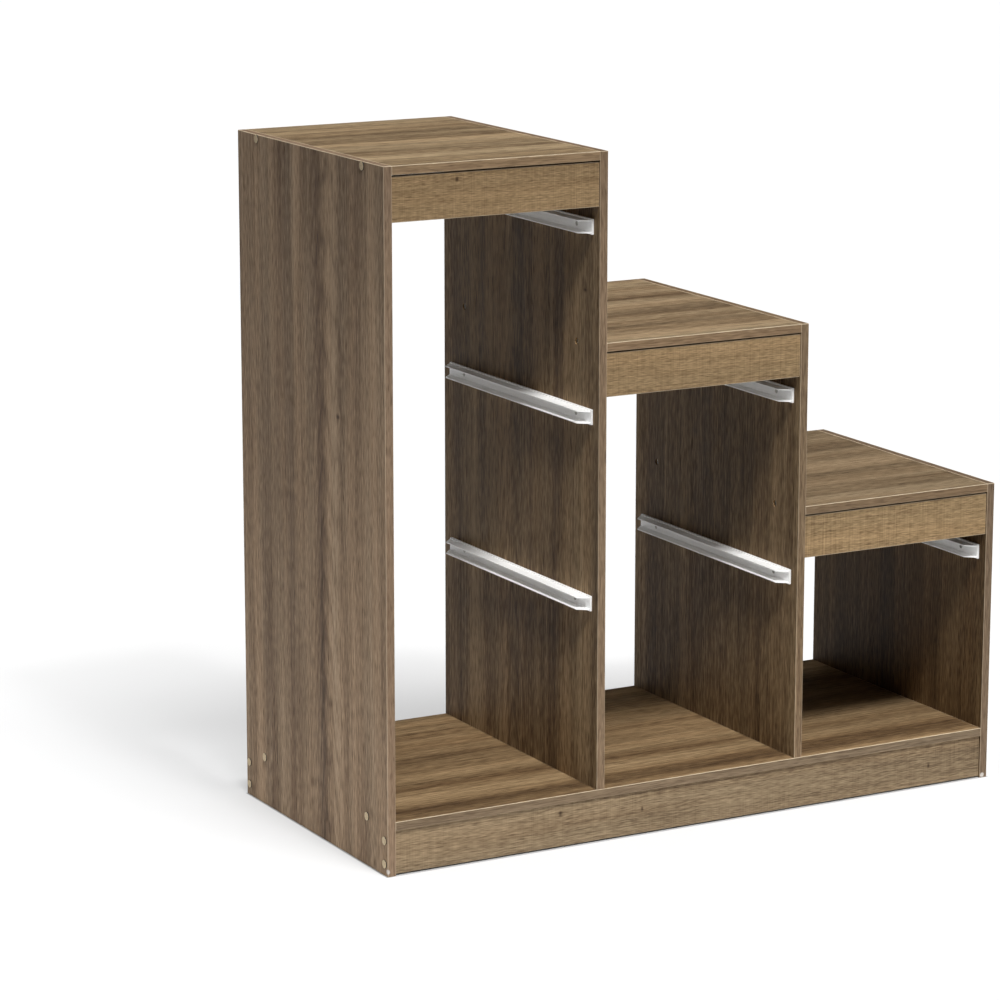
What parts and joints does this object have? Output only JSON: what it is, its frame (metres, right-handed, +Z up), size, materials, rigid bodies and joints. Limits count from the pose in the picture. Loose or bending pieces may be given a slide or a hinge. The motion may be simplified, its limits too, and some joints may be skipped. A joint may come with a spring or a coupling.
{
  "type": "storage bin rack",
  "caption": "Stepped open wood-effect rack with side-by-side bays of falling height, each lined with white channel rails that slide-in storage bins hang from.",
  "frame": {"origin": "on the floor, in the middle of the rack's footprint", "axes": "+X along the front from the tall bay to the low bay, +Y from the front to the back, +Z up"},
  "size_m": [0.9654, 0.436, 0.94],
  "materials": {
    "board_laminate": "satin wood-effect laminate",
    "rail_plastic": "moulded, satin white",
    "cap_plastic": "moulded, matt tan",
    "screw_steel": "zinc plated",
    "dowel_beech": "raw turned beech"
  },
  "bodies": {
    "root": {"bottom_panel": "board_laminate", "front_plinth": "board_laminate", "left_side_panel": "board_laminate", "left_side_panel_caps": "cap_plastic", "left_side_panel_screws": "screw_steel", "low_apron_dowels": "dowel_beech", "low_bay_rail_left_1": "rail_plastic", "low_bay_rail_right_1": "rail_plastic", "low_bay_rail_screws": "screw_steel", "low_front_apron": "board_laminate", "low_rear_apron": "board_laminate", "low_top": "board_laminate", "middle_apron_dowels": "dowel_beech", "middle_bay_rail_left_1": "rail_plastic", "middle_bay_rail_left_2": "rail_plastic", "middle_bay_rail_right_1": "rail_plastic", "middle_bay_rail_right_2": "rail_plastic", "middle_bay_rail_screws": "screw_steel", "middle_front_apron": "board_laminate", "middle_partition": "board_laminate", "middle_partition_caps": "cap_plastic", "middle_partition_screws": "screw_steel", "middle_rear_apron": "board_laminate", "middle_top": "board_laminate", "partition_foot_screws": "screw_steel", "rear_plinth": "board_laminate", "right_side_panel": "board_laminate", "right_side_panel_caps": "cap_plastic", "right_side_panel_screws": "screw_steel", "tall_apron_dowels": "dowel_beech", "tall_bay_rail_left_1": "rail_plastic", "tall_bay_rail_left_2": "rail_plastic", "tall_bay_rail_left_3": "rail_plastic", "tall_bay_rail_right_1": "rail_plastic", "tall_bay_rail_right_2": "rail_plastic", "tall_bay_rail_right_3": "rail_plastic", "tall_bay_rail_screws": "screw_steel", "tall_front_apron": "board_laminate", "tall_partition": "board_laminate", "tall_partition_caps": "cap_plastic", "tall_partition_screws": "screw_steel", "tall_rear_apron": "board_laminate", "tall_top": "board_laminate"}
  },
  "joints": []
}
